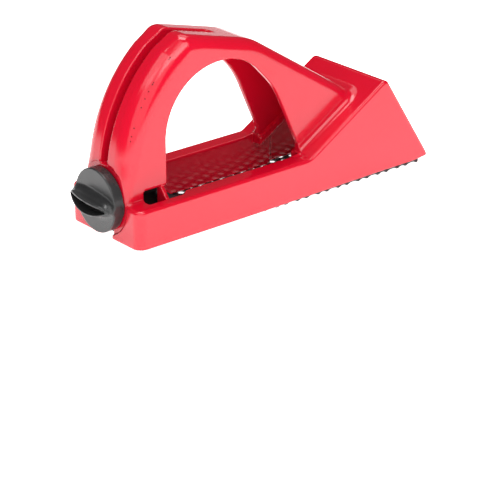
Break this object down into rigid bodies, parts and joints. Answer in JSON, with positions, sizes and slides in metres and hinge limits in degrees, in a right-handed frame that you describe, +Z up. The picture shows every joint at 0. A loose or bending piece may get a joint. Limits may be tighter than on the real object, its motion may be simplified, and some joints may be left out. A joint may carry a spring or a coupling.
{
  "type": "wood rasp",
  "caption": "Hand rasp for wood and board: a hollow arched-handle body over a flat perforated toothed blade held taut by a rear screw clamp.",
  "frame": {"origin": "centre of the bounding box in plan, at the tips of the blade's teeth", "axes": "+X towards the nose, +Z up through the handle, +Y to the left seen from behind the knob"},
  "size_m": [0.1641, 0.045, 0.0782],
  "materials": {
    "body_plastic": "glossy moulded plastic with softly rounded edges",
    "blade_steel": "dark grey hardened steel sheet, bright only at the bent front corners",
    "knob_plastic": "satin black moulded plastic",
    "clamp_plastic": "satin black moulded plastic",
    "zinc_steel": "zinc plated steel"
  },
  "bodies": {
    "frame": {"body": "body_plastic", "rasp_blade": "blade_steel"},
    "knob": {"tension_knob": "knob_plastic", "knob_stud": "zinc_steel"},
    "slider": {"tension_slider": "clamp_plastic", "captive_nut": "zinc_steel"}
  },
  "joints": [
    {"name": "knob_turn", "type": "hinge", "parent": "frame", "child": "knob", "pos_m": [-0.07235, 0, 0.0169], "axis": [1, 0, 0], "range_deg": [-1350, 0]},
    {"name": "clamp_slide", "type": "slide", "parent": "frame", "child": "slider", "axis": [1, 0, 0], "range_m": [0, 0.0031]}
  ],
  "couplings": [
    {"joint": "clamp_slide", "follows": "knob_turn", "m_per_rad": -0.00012732}
  ]
}
